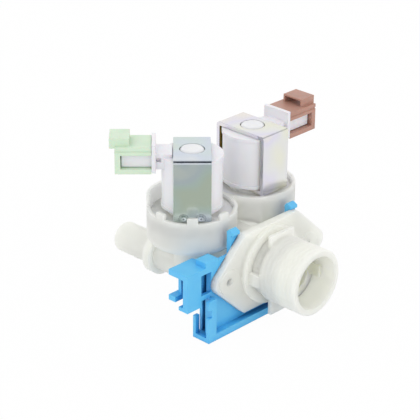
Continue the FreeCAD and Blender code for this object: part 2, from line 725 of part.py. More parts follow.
def coil_winding():
    flat = YOKE_INNER_DEPTH / 2 - COIL_GAP - COIL_SHELL / 2 - FREE_CLEARANCE
    low = COIL_BOTTOM + COIL_GAP + COIL_SHELL + BOBBIN_FLANGE
    high = COIL_TOP - COIL_GAP - COIL_SHELL - BOBBIN_FLANGE
    winding = ring_z(WINDING_OUT, WINDING_IN, low, high)
    return winding.common(box(-WINDING_OUT - 1, WINDING_OUT + 1, -flat, flat, low - 1, high + 1))


def coil_cavity():
    # The space inside the moulding that the spool and its winding fill.
    rim = COIL_R - COIL_SHELL
    low = COIL_BOTTOM + COIL_GAP + COIL_SHELL
    high = COIL_TOP - COIL_GAP - COIL_SHELL
    flat = YOKE_INNER_DEPTH / 2 - COIL_GAP - COIL_SHELL / 2
    drum = cylinder_z(rim, low, high)
    return drum.common(box(-rim - 1, rim + 1, -flat, flat, low, high))


def connector(side):
    # The arm, shield plate and tongue that carry the two blades, with the socket cut.
    half = ARM_WIDTH / 2
    start = YOKE_WIDTH / 2 + FREE_CLEARANCE
    out = TONGUE_OUT + CONNECTOR_STRETCH[side]
    arm = box(start, SHIELD_OUT, -half, half, ARM_BOTTOM, ARM_TOP)
    grooves = []
    for y in (-half, half):
        depth = ARM_GROOVE_DEPTH
        groove = box(COIL_R, SHIELD_IN, y - depth, y + depth, ARM_GROOVE_BOTTOM, ARM_GROOVE_TOP)
        grooves.append(groove)
    arm = arm.cut(grooves)
    half = SHIELD_WIDTH / 2
    shield = box(SHIELD_IN, SHIELD_OUT, -half, half, SHIELD_BOTTOM, SHIELD_TOP)
    half = TONGUE_WIDTH / 2
    tongue = box(SHIELD_IN, out, -half, half, TONGUE_BOTTOM, TONGUE_TOP)
    half = TONGUE_WIDTH / 2 - SOCKET_WALL
    low = TONGUE_BOTTOM + SOCKET_WALL
    high = TONGUE_TOP - SOCKET_WALL
    socket = box(TONGUE_OUT - SOCKET_DEPTH, out + 1, -half, half, low, high)
    shape = fuse_all([arm, shield, tongue]).cut(socket)
    shape.translate(V(0, 0, -CONNECTOR_DROP[side]))
    return shape


def coil_housing(side):
    flat = YOKE_INNER_DEPTH / 2 - COIL_GAP
    low = COIL_BOTTOM + COIL_GAP
    high = COIL_TOP - COIL_GAP
    drum = cylinder_z(COIL_R, low, high)
    lips = []
    for z0, z1 in ((low, low + COIL_LIP_HEIGHT), (high - COIL_LIP_HEIGHT, high)):
        lips.append(cylinder_z(COIL_R + COIL_LIP, z0, z1))
    drum = fuse_all([drum] + lips)
    drum = drum.common(box(-2 * COIL_R, 2 * COIL_R, -flat, flat, low, high))
    bore = cylinder_z(CORE_BORE, low - 1, high + 1)
    shape = drum.fuse(connector(side))
    slots = [blade(side, y) for y in blade_places()]
    return shape.cut([coil_cavity(), bore] + slots).removeSplitter()


def blade_places():
    return (-BLADE_PITCH / 2, BLADE_PITCH / 2)


def blade(side, y):
    middle = (TONGUE_BOTTOM + TONGUE_TOP) / 2 - CONNECTOR_DROP[side]
    half_w = BLADE_WIDTH / 2
    half_t = BLADE_THICKNESS / 2
    end = BLADE_END + CONNECTOR_STRETCH[side]
    return box(BLADE_IN, end, y - half_t, y + half_t, middle - half_w, middle + half_w)


def terminals(side):
    return Part.makeCompound([blade(side, y) for y in blade_places()])


def coding_clip(side):
    half = CLIP_WIDTH / 2
    out = CLIP_OUT + CONNECTOR_STRETCH[side]
    top = box(CLIP_IN, out, -half, half, CLIP_TOP - CLIP_TOP_PLATE, CLIP_TOP)
    grooves = []
    for y in (-half, half):
        depth = CLIP_GROOVE
        low = CLIP_GROOVE_Z
        grooves.append(box(CLIP_IN - 1, out + 1, y - depth, y + depth, low, low + 2 * depth))
    top = top.cut(grooves)
    end = box(out - CLIP_END_PLATE, out, -half, half, CLIP_BOTTOM, CLIP_TOP - CLIP_TOP_PLATE)
    bottom_top = CLIP_BOTTOM + CLIP_BOTTOM_PLATE
    bottom = box(CLIP_IN, out, -half, half, CLIP_BOTTOM, bottom_top)
    half = CLIP_TAB_WIDTH / 2
    tab_top = CLIP_TOP + CLIP_TAB_HEIGHT
    tab = box(CLIP_TAB_IN, CLIP_TAB_OUT, -half, half, CLIP_TOP - 1.0, tab_top)
    wall = CLIP_TAB_WALL
    low = CLIP_TOP
    hollow = box(CLIP_TAB_IN - 1, CLIP_TAB_OUT + 1, wall - half, half - wall, low, tab_top - wall)
    clip = fuse_all([top, end, bottom, tab]).cut(hollow)
    clip.translate(V(0, 0, -CONNECTOR_DROP[side]))
    return clip


def bracket_plate():
    back = FLANGE_THICKNESS + BRACKET_SHEET
    left = BRACKET_LEFT
    right = BRACKET_RIGHT
    outline = [
        (left, CHANNEL_BOTTOM),
        (right, CHANNEL_BOTTOM),
        (right, BRACKET_TOP),
        (left, BRACKET_TOP),
    ]
    plate = prism_y(outline, FLANGE_THICKNESS, back)
    upper_gap = box(left - 1, POST_LEFT, 0, back + 1, BRIDGE_TOP, BRACKET_TOP + 1)
    return plate.cut(upper_gap)


def bracket_column():
    # The wall at the left end, level with the flange's front face.
    front = box(CHANNEL_LEFT, COLUMN_RIGHT, 0, COLUMN_SHEET, CHANNEL_BOTTOM, COLUMN_TOP)
    notch_right = CHANNEL_LEFT + NOTCH_WIDTH
    notch = box(CHANNEL_LEFT - 1, notch_right, -1, COLUMN_SHEET + 1, NOTCH_BOTTOM, NOTCH_TOP)
    back = FLANGE_THICKNESS + BRACKET_SHEET
    side = box(BRACKET_LEFT, COLUMN_RIGHT, 0, back, CHANNEL_BOTTOM, COLUMN_TOP)
    return front.cut(notch).fuse(side)


def bracket_arm_inner():
    return INLET_TUBE_OD / 2 + ARM_GAP


def bracket_throat():
    # The open slot that lets the bracket slide up over the inlet tube.
    half = bracket_arm_inner()
    tall = box(-half, half, 0, CHANNEL_BACK + 1, 0, HOOK_TOP + 1)
    round_end = cylinder_y(half, 0, CHANNEL_BACK + 1)
    return tall.fuse(round_end)


def bracket_hooks():
    foot = BRACKET_TOP - HOOK_FOOT
    nose_low = FLANGE_HALF_HEIGHT + 0.1
    profile = [
        (HOOK_FRONT, foot),
        (HOOK_BACK, foot),
        (HOOK_BACK, HOOK_TOP - HOOK_ROUND),
        (HOOK_BACK - HOOK_ROUND, HOOK_TOP),
        (HOOK_FRONT + HOOK_ROUND, HOOK_TOP),
        (HOOK_NOSE_FRONT, HOOK_TOP - HOOK_NOSE_DROP),
        (HOOK_NOSE_FRONT, nose_low),
        (HOOK_FRONT, nose_low),
    ]
    hooks = []
    for side in (-1, 1):
        low = min(side * HOOK_IN, side * HOOK_OUT)
        hooks.append(prism_x(profile, low, low + HOOK_OUT - HOOK_IN))
    return hooks


def bracket_channel():
    rail = box(COLUMN_RIGHT - 1, BRACKET_RIGHT, 0, FLANGE_THICKNESS + 1, CHANNEL_BOTTOM, RAIL_TOP)
    floor_top = CHANNEL_BOTTOM + CHANNEL_FLOOR
    floor = box(CHANNEL_LEFT, BRACKET_RIGHT, 0, CHANNEL_BACK, CHANNEL_BOTTOM, floor_top)
    wall_front = CHANNEL_BACK - BACK_WALL_SHEET
    wall = box(BACK_WALL_LEFT, BRACKET_RIGHT, wall_front, CHANNEL_BACK, CHANNEL_BOTTOM, BACK_WALL_TOP)
    tab_right = CHANNEL_LEFT + TAB_WIDTH
    tab = box(CHANNEL_LEFT, tab_right, wall_front, CHANNEL_BACK, CHANNEL_BOTTOM, TAB_TOP)
    return [rail, floor, wall, tab]


def bracket_post():
    right = POST_LEFT + POST_WIDTH
    back = FLANGE_THICKNESS + POST_DEPTH
    post = box(POST_LEFT, right, FLANGE_THICKNESS, back, BRIDGE_TOP - BRIDGE_THICKNESS, POST_TOP)
    wall_front = CHANNEL_BACK - BACK_WALL_SHEET
    roof_low = HOLDER_ROOF_TOP - HOLDER_ROOF
    back_wall = box(BACK_WALL_LEFT, right, wall_front, CHANNEL_BACK, BACK_WALL_TOP - 1, HOLDER_ROOF_TOP)
    cap = box(POST_LEFT - POST_CAP_REACH, right, FLANGE_THICKNESS, CHANNEL_BACK, roof_low, POST_TOP)
    return [post, back_wall, cap]


def bracket_holder():
    front = FLANGE_THICKNESS
    roof_low = HOLDER_ROOF_TOP - HOLDER_ROOF
    roof_right = POST_LEFT
    roof = box(HOLDER_LEFT, roof_right, front, HOLDER_BACK, roof_low, HOLDER_ROOF_TOP)
    front_right = HOLDER_LEFT + HOLDER_FRONT_WIDTH
    front_back = front + HOLDER_FRONT_DEPTH
    panel = box(HOLDER_LEFT, front_right, front, front_back, HOLDER_BOTTOM, HOLDER_ROOF_TOP)
    foot_top = HOLDER_BOTTOM + HOLDER_FOOT
    foot_right = HOLDER_LEFT + HOLDER_FRONT_WIDTH / 2
    foot = box(HOLDER_LEFT, foot_right, front, front + HOLDER_FOOT_DEPTH, HOLDER_BOTTOM, foot_top)
    prong_low = PRONG_TOP - PRONG_THICKNESS
    web_back = HOLDER_WEB_FRONT + BRACKET_SHEET
    web = box(HOLDER_WEB_LEFT, BACK_WALL_LEFT, HOLDER_WEB_FRONT, web_back, prong_low, roof_low)
    side_left = BACK_WALL_LEFT - BRACKET_SHEET
    side = box(side_left, BACK_WALL_LEFT + 1, CHANNEL_BACK - 1, web_back, prong_low, roof_low)
    prong = box(HOLDER_LEFT, BACK_WALL_LEFT, HOLDER_WEB_FRONT, HOLDER_BACK, prong_low, PRONG_TOP)
    bridge_low = BRIDGE_TOP - BRIDGE_THICKNESS
    bridge = box(front_right - 1, POST_LEFT + 1, front, front + BRACKET_SHEET, bridge_low, BRIDGE_TOP)
    return [roof, panel, foot, web, side, prong, bridge]


def mounting_bracket():
    solids = [bracket_plate(), bracket_column()]
    solids += bracket_channel()
    solids += bracket_post()
    solids += bracket_holder()
    body = fuse_all(solids)
    body = body.cut(bracket_throat())
    body = body.multiFuse(bracket_hooks())
    cups = []
    for name, x, angle in VALVES:
        cups.append(cylinder_z(CUP_R + FREE_CLEARANCE, CUP_BOTTOM - FREE_CLEARANCE, CUP_RIM, x, CUP_Y))
    return body.cut(cups).removeSplitter()


def pieces():
    made = {
        "valve_body": valve_body(),
        "mounting_bracket": mounting_bracket(),
        "inlet_strainer": inlet_strainer(),
        "flow_regulator_ring": flow_regulator_ring(),
        "flow_regulator_disc": flow_regulator_disc(),
    }
    per_valve = {
        "diaphragm": diaphragm(),
        "diaphragm_insert": diaphragm_insert(),
        "guide_tube": guide_tube(),
        "plunger": plunger(),
        "plunger_seal": plunger_seal(),
        "plunger_spring": plunger_spring(),
        "yoke": yoke(),
        "yoke_plate": yoke_plate(),
        "coil_bobbin": coil_bobbin(),
        "coil_winding": coil_winding(),
    }
    for side, x, angle in VALVES:
        own = {
            "coil_housing": coil_housing(side),
            "terminals": terminals(side),
            "coding_clip": coding_clip(side),
        }
        for name, shape in list(per_valve.items()) + list(own.items()):
            made[side + "_" + name] = at_valve(shape, x, angle)
    return made


def main():
    os.makedirs("parts", exist_ok=True)
    for name, shape in pieces().items():
        print(name, "valid", shape.isValid(), "solids", len(shape.Solids), round(shape.Volume, 1))
        shape.exportStep("parts/" + name + ".step")


main()
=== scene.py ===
import json
import math

import bmesh
import bpy
from bpy.props import FloatProperty, FloatVectorProperty, IntProperty, PointerProperty
from bpy.types import Operator, Panel, PropertyGroup
from mathutils import Matrix, Vector


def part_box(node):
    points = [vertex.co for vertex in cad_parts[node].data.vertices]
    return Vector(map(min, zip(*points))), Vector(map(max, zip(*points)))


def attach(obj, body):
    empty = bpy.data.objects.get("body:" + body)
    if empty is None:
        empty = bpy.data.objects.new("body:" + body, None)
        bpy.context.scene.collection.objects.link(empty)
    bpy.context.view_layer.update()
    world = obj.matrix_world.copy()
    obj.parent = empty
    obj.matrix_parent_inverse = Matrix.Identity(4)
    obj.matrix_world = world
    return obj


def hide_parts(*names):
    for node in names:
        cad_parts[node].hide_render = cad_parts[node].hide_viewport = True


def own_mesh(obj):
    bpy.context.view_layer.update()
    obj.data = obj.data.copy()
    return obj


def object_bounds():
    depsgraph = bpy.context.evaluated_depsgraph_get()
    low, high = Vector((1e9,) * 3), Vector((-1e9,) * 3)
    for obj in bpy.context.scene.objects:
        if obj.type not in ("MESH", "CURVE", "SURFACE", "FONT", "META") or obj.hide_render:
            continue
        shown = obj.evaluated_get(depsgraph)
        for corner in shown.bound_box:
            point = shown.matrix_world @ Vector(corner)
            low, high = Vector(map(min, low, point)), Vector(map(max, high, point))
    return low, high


bl_info = {
    "name": "Water Inlet Valve",
    "version": (1, 0, 0),
    "blender": (4, 5, 0),
    "location": "View3D > Sidebar > Inlet Valve",
    "description": "Dresses a packed double water inlet valve and sets up its studio",
    "category": "Object",
}

# The frame, in metres: -Y out of the inlet, +Y out of the outlets, +Z up along the coils
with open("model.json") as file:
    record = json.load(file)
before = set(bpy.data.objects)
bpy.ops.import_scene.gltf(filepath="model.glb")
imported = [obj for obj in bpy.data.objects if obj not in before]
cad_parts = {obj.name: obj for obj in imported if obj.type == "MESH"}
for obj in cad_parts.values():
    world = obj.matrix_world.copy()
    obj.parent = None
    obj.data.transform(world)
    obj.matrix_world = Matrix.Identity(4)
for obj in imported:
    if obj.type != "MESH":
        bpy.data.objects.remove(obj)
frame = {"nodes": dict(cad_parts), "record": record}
CAD_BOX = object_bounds()

MM = 0.001
SIDES = ("left", "right")
MERGE_DISTANCE = 0.002 * MM
FLAT_ANGLE = math.radians(0.4)
EDGE_ANGLE = math.radians(32)

# The photograph's view
CAMERA_AZIMUTH = math.radians(-46.36)
CAMERA_ELEVATION = math.radians(25.36)
CAMERA_ROLL = math.radians(0.45)
CAMERA_DISTANCE = 578.88 * MM
CAMERA_TARGET = Vector((-33.12, 0.0, 33.58)) * MM
FRAME_PIXELS = 420
FOCAL_PIXELS = 1600
SENSOR_MM = 36.0
CAMERA_NEAREST = 0.01
CAMERA_FURTHEST = 50.0

# Shares of open sky over a point, between which a plastic's colour is painted over to its hollow colour (a
# painted shade where that colour is darker, a painted light where it is paler) and to its pit colour, a
# deeper painted shade
PAINTED_HOLLOW_REACH = (0.15, 0.6)
PAINTED_PIT_SHADE_REACH = (0.16, 0.42)
CLOUD_SHARE = 0.2


# Colours and nodes


def linear(hex_colour):
    """An sRGB hex colour as a linear red, green and blue."""
    text = hex_colour.lstrip("#")
    channels = [int(text[i:i + 2], 16) / 255 for i in (0, 2, 4)]
    return [c / 12.92 if c <= 0.04045 else ((c + 0.055) / 1.055) ** 2.4 for c in channels]


def opaque(hex_colour):
    """An sRGB hex colour as linear red, green, blue and a full alpha."""
    return (*linear(hex_colour), 1.0)


def add_node(tree, kind, inputs=None, **settings):
    """Adds one node, with its settings, and with each input set to a value or linked from a socket."""
    node = tree.nodes.new(kind)
    for name, value in settings.items():
        setattr(node, name, value)
    for key, value in (inputs or {}).items():
        if isinstance(value, bpy.types.NodeSocket):
            tree.links.new(value, node.inputs[key])
        else:
            node.inputs[key].default_value = value
    return node


def mix_colours(tree, factor, first, second):
    """The colour output of a mix between two colours or sockets."""
    node = add_node(tree, "ShaderNodeMix", {0: factor, 6: first, 7: second}, data_type="RGBA")
    return node.outputs[2]


def noise_at(tree, size, detail=2.0, roughness=0.5, stretch=(1.0, 1.0, 1.0)):
    """Noise on Object coordinates with blotches of this real size, which may be stretched."""
    place = add_node(tree, "ShaderNodeTexCoord")
    mapping = add_node(tree, "ShaderNodeMapping", {"Vector": place.outputs["Object"], "Scale": stretch})
    return add_node(tree, "ShaderNodeTexNoise", {
        "Vector": mapping.outputs[0],
        "Scale": 1.0 / size,
        "Detail": detail,
        "Roughness": roughness,
    })


def spread(tree, value, low, high, to_low=0.0, to_high=1.0):
    """A value stretched from one range to another and kept inside it."""
    node = add_node(tree, "ShaderNodeMapRange", {
        "Value": value,
        "From Min": low,
        "From Max": high,
        "To Min": to_low,
        "To Max": to_high,
    })
    return node.outputs[0]


def new_material(name):
    """An empty node material with a Principled shader at its output."""
    material = bpy.data.materials.new(name)
    material.use_nodes = True
    tree = material.node_tree
    tree.nodes.clear()
    shader = add_node(tree, "ShaderNodeBsdfPrincipled")
    add_node(tree, "ShaderNodeOutputMaterial", {"Surface": shader.outputs[0]})
    return material, tree, shader


def grain_normal(tree, grain, lift, edge):
    """The normal of a moulded face: rounded edges and the fine grain of the mould's steel."""
    rounded = add_node(tree, "ShaderNodeBevel", {"Radius": edge}, samples=6)
    fine = noise_at(tree, grain, detail=1.0)
    bump = add_node(tree, "ShaderNodeBump", {
        "Strength": 1.0,
        "Distance": lift,
        "Height": fine.outputs[0],
        "Normal": rounded.outputs[0],
    })
    return bump.outputs[0]


def moulded_plastic(name, face, cloud_and_painted_hollow_colour, cloud, corner, grain, lift, edge, reach=PAINTED_HOLLOW_REACH, painted_pit_shade=None):
    """What the moulded plastics share: faint clouds, a colour painted into hollows by occlusion (a painted
    shade where it is darker, a painted light where it is paler), grain and soft edges.
    """
    material, tree, shader = new_material(name)
    blotch = noise_at(tree, cloud, detail=3.0)
    faint = spread(tree, blotch.outputs[0], 0.35, 0.7, 0.0, CLOUD_SHARE)
    clouded = mix_colours(tree, faint, face, cloud_and_painted_hollow_colour)
    # Painted shade and light: where little open sky reaches a point, its colour is painted towards the hollow
    # colour, and towards the pit colour in the deepest spots.
    shade = add_node(tree, "ShaderNodeAmbientOcclusion", {"Distance": corner}, samples=8)
    depth = spread(tree, shade.outputs["AO"], *reach, 1.0, 0.0)
    coloured = mix_colours(tree, depth, clouded, cloud_and_painted_hollow_colour)
    if painted_pit_shade:
        depth = spread(tree, shade.outputs["AO"], *PAINTED_PIT_SHADE_REACH, 1.0, 0.0)
        coloured = mix_colours(tree, depth, coloured, painted_pit_shade)
    tree.links.new(coloured, shader.inputs["Base Color"])
    tree.links.new(grain_normal(tree, grain, lift, edge), shader.inputs["Normal"])
    return material, tree, shader


# Materials, each named for the real one


def natural_polyamide(look):
    # Uncoloured polyamide 66, injection moulded: milky, and lit from within; its hollows are painted paler, a
    # painted light that stands in for light passing through its walls.
    material, tree, shader = moulded_plastic(
        "Natural polyamide, moulded", (*look.body, 1.0), opaque("#fffff2"),
        cloud=9 * MM, corner=18 * MM, grain=0.5 * MM, lift=0.01 * MM, edge=0.2 * MM,
        reach=(0.35, 0.95))
    shader.inputs["Subsurface Weight"].default_value = 1.0
    shader.inputs["Subsurface Radius"].default_value = (1.0, 1.0, 1.0)
    shader.inputs["Subsurface Scale"].default_value = 6.5 * MM
    shader.inputs["Roughness"].default_value = 0.42
    shader.inputs["IOR"].default_value = 1.53
    return material


def strainer_polypropylene(look):
    # Uncoloured polypropylene, moulded thin: waxy, with a faint green painted light in its hollows.
    material, tree, shader = moulded_plastic(
        "Natural polypropylene, moulded", opaque("#f6f8e6"), opaque("#fdffe8"),
        cloud=5 * MM, corner=5 * MM, grain=0.4 * MM, lift=0.008 * MM, edge=0.2 * MM)
    shader.inputs["Subsurface Weight"].default_value = 0.8
    shader.inputs["Subsurface Radius"].default_value = (1.0, 1.0, 0.6)
    shader.inputs["Subsurface Scale"].default_value = 6.0 * MM
    shader.inputs["Roughness"].default_value = 0.38
    shader.inputs["IOR"].default_value = 1.49
    return material


def white_acetal(look):
    # White acetal, moulded: dense, smooth and slightly waxy, with a greyer painted shade in its hollows.
    material, tree, shader = moulded_plastic(
        "White acetal, moulded", opaque("#eeeee8"), opaque("#d6d6cc"),
        cloud=4 * MM, corner=3 * MM, grain=0.3 * MM, lift=0.006 * MM, edge=0.15 * MM)
    shader.inputs["Subsurface Weight"].default_value = 0.2
    shader.inputs["Subsurface Scale"].default_value = 0.8 * MM
    shader.inputs["Roughness"].default_value = 0.32
    shader.inputs["IOR"].default_value = 1.48
    return material


def tube_polyamide(look):
    # White polyamide with a cool tint, smooth from a polished mould, with a paler painted light in its
    # hollows.
    material, tree, shader = moulded_plastic(
        "White polyamide, polished mould", (*look.tube, 1.0), opaque("#fffff4"),
        cloud=5 * MM, corner=6 * MM, grain=0.35 * MM, lift=0.005 * MM, edge=0.25 * MM)
    shader.inputs["Subsurface Weight"].default_value = 0.6
    shader.inputs["Subsurface Radius"].default_value = (1.0, 1.0, 0.9)
    shader.inputs["Subsurface Scale"].default_value = 2.0 * MM
    shader.inputs["Roughness"].default_value = 0.3
    shader.inputs["IOR"].default_value = 1.53
    return material


def blue_polypropylene(look):
    # Polypropylene coloured through with blue, moulded: satin, with a painted shade in its corners that turns
    # nearly navy in the deepest ones.
    material, tree, shader = moulded_plastic(
        "Blue polypropylene, moulded", (*look.bracket, 1.0), opaque("#34a8f0"),
        cloud=7 * MM, corner=7 * MM, grain=0.45 * MM, lift=0.012 * MM, edge=0.25 * MM,
        reach=(0.25, 0.75), painted_pit_shade=opaque("#0c3c78"))
    shader.inputs["Subsurface Weight"].default_value = 0.18
    shader.inputs["Subsurface Radius"].default_value = (0.35, 0.7, 1.0)
    shader.inputs["Subsurface Scale"].default_value = 0.9 * MM
    shader.inputs["Roughness"].default_value = 0.4
    shader.inputs["IOR"].default_value = 1.49
    return material


def coil_polyester(look):
    # Glass-filled thermoplastic polyester, moulded over the winding: hard, cool white, with a slight gloss
    # and a greyer painted shade in its hollows.
    material, tree, shader = moulded_plastic(
        "White polyester, glass filled", (*look.coil, 1.0), opaque("#e2e1e5"),
        cloud=6 * MM, corner=3 * MM, grain=0.25 * MM, lift=0.008 * MM, edge=0.25 * MM)
    shader.inputs["Subsurface Weight"].default_value = 0.15
    shader.inputs["Subsurface Scale"].default_value = 0.7 * MM
    shader.inputs["Roughness"].default_value = 0.34
    shader.inputs["IOR"].default_value = 1.57
    return material


def clip_polyamide(name, face, cloud_and_painted_hollow_colour):
    """The polyamide of a coding clip, in the colour that tells the two connectors apart."""
    material, tree, shader = moulded_plastic(
        name, face, cloud_and_painted_hollow_colour,
        cloud=5 * MM, corner=3 * MM, grain=0.35 * MM, lift=0.012 * MM, edge=0.22 * MM)
    shader.inputs["Subsurface Weight"].default_value = 0.15
    shader.inputs["Subsurface Scale"].default_value = 0.7 * MM
    shader.inputs["Roughness"].default_value = 0.45
    shader.inputs["IOR"].default_value = 1.53
    return material


def green_polyamide(look):
    # Polyamide coloured pale green: matt, with a mint tone, and a darker painted shade in the corners.
    return clip_polyamide("Green polyamide, moulded", (*look.left_clip, 1.0), opaque("#b4d2ae"))


def brown_polyamide(look):
    # Polyamide coloured pinkish brown: matt, with a darker painted shade in the corners.
    return clip_polyamide("Brown polyamide, moulded", (*look.right_clip, 1.0), opaque("#7d5546"))


def zinc_plate(name, tints, inside, axis):
    """Zinc-plated sheet steel: bright metal under a thin film whose colour drifts with its thickness, with a
    painted shade on the faces that look in towards the coil.
    """
    material, tree, shader = new_material(name)
    film = noise_at(tree, 15 * MM, detail=1.0, roughness=0.4)
    ramp = add_node(tree, "ShaderNodeValToRGB", {"Fac": film.outputs[0]})
    stops = ramp.color_ramp.elements
    first, last = 0.32, 0.68
    stops[0].position = first
    stops[0].color = opaque(tints[0])
    stops[1].position = last
    stops[1].color = opaque(tints[-1])
    for index, tint in enumerate(tints[1:-1], start=1):
        stop = stops.new(first + (last - first) * index / (len(tints) - 1))
        stop.color = opaque(tint)
    # Painted shade: the faces that look in towards the coil's axis take the darker inside colour.
    film_and_painted_shade = mix_colours(tree, facing_axis(tree, axis), ramp.outputs[0], inside)
    # Rolling marks run along the strip, a tenth of a millimetre apart, drawn three times coarser to show.
    marks = noise_at(tree, 0.3 * MM, detail=1.0, stretch=(1.0, 1.0, 0.06))
    worn = spread(tree, marks.outputs[0], 0.3, 0.7, 0.0, 0.02)
    coloured = mix_colours(tree, worn, film_and_painted_shade, opaque("#9aa098"))
    rough = spread(tree, marks.outputs[0], 0.3, 0.7, 0.22, 0.25)
    rounded = add_node(tree, "ShaderNodeBevel", {"Radius": 0.12 * MM}, samples=6)
    tree.links.new(coloured, shader.inputs["Base Color"])
    tree.links.new(rough, shader.inputs["Roughness"])
    tree.links.new(rounded.outputs[0], shader.inputs["Normal"])
    shader.inputs["Metallic"].default_value = 1.0
    return material


def coil_axis(side):
    """A point on the upright axis of this side's coil."""
    low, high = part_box(side + "_plunger")
    return (low + high) / 2


def facing_axis(tree, axis):
    """One on the faces that look towards an upright axis through this point, and nothing on the others."""
    place = add_node(tree, "ShaderNodeTexCoord")
    surface = add_node(tree, "ShaderNodeNewGeometry")
    outward = add_node(tree, "ShaderNodeVectorMath", {
        0: place.outputs["Object"], 1: axis}, operation="SUBTRACT")
    level = add_node(tree, "ShaderNodeVectorMath", {
        0: outward.outputs[0], 1: (1, 1, 0)}, operation="MULTIPLY")
    facing = add_node(tree, "ShaderNodeVectorMath", {
        0: level.outputs[0], 1: surface.outputs["True Normal"]}, operation="DOT_PRODUCT")
    return spread(tree, facing.outputs["Value"], -8 * MM, -9 * MM)


def blue_zinc(look):
    # A blue passivation film: cool silver that drifts to green and violet, with a grey-green painted shade on
    # the inner faces.
    tints = ("#d2dad0", "#cfdcda", "#d0d8e4", "#dce0e4")
    return zinc_plate("Zinc-plated steel, blue film", tints, opaque("#b4b8a8"), coil_axis("left"))


def yellow_zinc(look):
    # A yellow passivation film: warm silver that drifts to straw, rose and lilac, with an olive painted shade
    # on the inner faces.
    tints = ("#e9e9da", "#e6e6e6", "#e2dfec", "#ebe6e0")
    return zinc_plate("Zinc-plated steel, yellow film", tints, opaque("#b09a58"), coil_axis("right"))


def bare_metal(name, colour, roughness, turning):
    """A bare metal with fine marks left by turning, drawing or punching, this far apart."""
    material, tree, shader = new_material(name)
    marks = noise_at(tree, turning, detail=2.0, stretch=(1.0, 1.0, 6.0))
    darker = spread(tree, marks.outputs[0], 0.3, 0.7, 0.0, 0.35)
    coloured = mix_colours(tree, darker, opaque(colour), opaque("#6d6a64"))
    rough = spread(tree, marks.outputs[0], 0.3, 0.7, roughness, roughness + 0.12)
    tree.links.new(coloured, shader.inputs["Base Color"])
    tree.links.new(rough, shader.inputs["Roughness"])
    shader.inputs["Metallic"].default_value = 1.0
    return material


def brass_strip(look):
    # Punched brass strip: yellow, with drawn lines from the punch.
    return bare_metal("Brass strip, punched", "#cfae62", 0.26, 0.4 * MM)


def magnetic_stainless(look):
    # Turned magnetic stainless steel: grey and satin.
    return bare_metal("Magnetic stainless steel, turned", "#a2a2a0", 0.3, 0.35 * MM)


def spring_stainless(look):
    # Drawn stainless spring wire: brighter than the turned rod.
    return bare_metal("Stainless spring wire, drawn", "#b8b8b6", 0.22, 0.3 * MM)


def enamelled_copper(look):
    # Enamelled copper wire: red-brown lacquer over metal. Its fine turns are drawn as bands 1 mm apart, with
    # a darker painted shade in the grooves between them.
    material, tree, shader = new_material("Enamelled copper wire, wound")
    place = add_node(tree, "ShaderNodeTexCoord")
    turns = add_node(tree, "ShaderNodeTexWave", {
        "Vector": place.outputs["Object"],
        "Scale": 1.0 / (math.pi * MM),
        "Distortion": 0.4,
    }, wave_type="BANDS", bands_direction="Z", wave_profile="SIN")
    coloured = mix_colours(tree, turns.outputs["Fac"], opaque("#5e2f18"), opaque("#b4683a"))
    bump = add_node(tree, "ShaderNodeBump", {"Distance": 0.12 * MM, "Height": turns.outputs["Fac"]})
    tree.links.new(coloured, shader.inputs["Base Color"])
    tree.links.new(bump.outputs[0], shader.inputs["Normal"])
    shader.inputs["Metallic"].default_value = 0.8
    shader.inputs["Roughness"].default_value = 0.3
    shader.inputs["Coat Weight"].default_value = 0.4
    return material


def bobbin_polyamide(look):
    # Off-white polyamide of the spool, moulded plain, with a greyer painted shade in its hollows.
    material, tree, shader = moulded_plastic(
        "Off-white polyamide, moulded", opaque("#d8d8d0"), opaque("#b4b4a8"),
        cloud=5 * MM, corner=3 * MM, grain=0.4 * MM, lift=0.01 * MM, edge=0.15 * MM)
    shader.inputs["Roughness"].default_value = 0.5
    return material


def black_rubber(look):
    # Moulded black rubber: matt, with a dusty bloom in patches.
    material, tree, shader = new_material("Black rubber, moulded")
    bloom = noise_at(tree, 3 * MM, detail=4.0)
    dusty = spread(tree, bloom.outputs[0], 0.4, 0.8)
    coloured = mix_colours(tree, dusty, opaque("#1b1b1b"), opaque("#353433"))
    fine = noise_at(tree, 0.25 * MM)
    bump = add_node(tree, "ShaderNodeBump", {"Distance": 0.02 * MM, "Height": fine.outputs[0]})
    tree.links.new(coloured, shader.inputs["Base Color"])
    tree.links.new(bump.outputs[0], shader.inputs["Normal"])
    shader.inputs["Roughness"].default_value = 0.75
    return material


# Which material each of the record's slots gets
SLOT_MATERIALS = {
    "nylon_natural": natural_polyamide,
    "nylon_blue": blue_polypropylene,
    "strainer_plastic": strainer_polypropylene,
    "acetal_white": white_acetal,
    "rubber_black": black_rubber,
    "nylon_tube": tube_polyamide,
    "magnetic_steel": magnetic_stainless,
    "spring_steel": spring_stainless,
    "zinc_steel": blue_zinc,
    "bobbin_nylon": bobbin_polyamide,
    "enamelled_copper": enamelled_copper,
    "coil_polyester": coil_polyester,
    "brass_blades": brass_strip,
    "clip_green": green_polyamide,
    "clip_brown": brown_polyamide,
}
MADE = {}


def finish_of(maker):
    """The material that this function makes, made once."""
    if maker not in MADE:
        MADE[maker] = maker(bpy.context.scene.inlet_valve_look)
    return MADE[maker]


def finish_for_slot(slot):
    """The material of one of the record's slots."""
    return finish_of(SLOT_MATERIALS[slot])


# Meshes


def link(piece):
    """Puts an object into the scene."""
    bpy.context.scene.collection.objects.link(piece)
    return piece


def joined_copy(node, name):
    """A copy of a CAD node's mesh with its loose triangles merged and its flat ones joined."""
    bm = bmesh.new()
    bm.from_mesh(frame["nodes"][node].data)
    bmesh.ops.remove_doubles(bm, verts=bm.verts, dist=MERGE_DISTANCE)
    bmesh.ops.dissolve_limit(bm, angle_limit=FLAT_ANGLE, verts=bm.verts, edges=bm.edges)
    mesh = bpy.data.meshes.new(name)
    bm.to_mesh(mesh)
    bm.free()
    return link(bpy.data.objects.new(name, mesh))


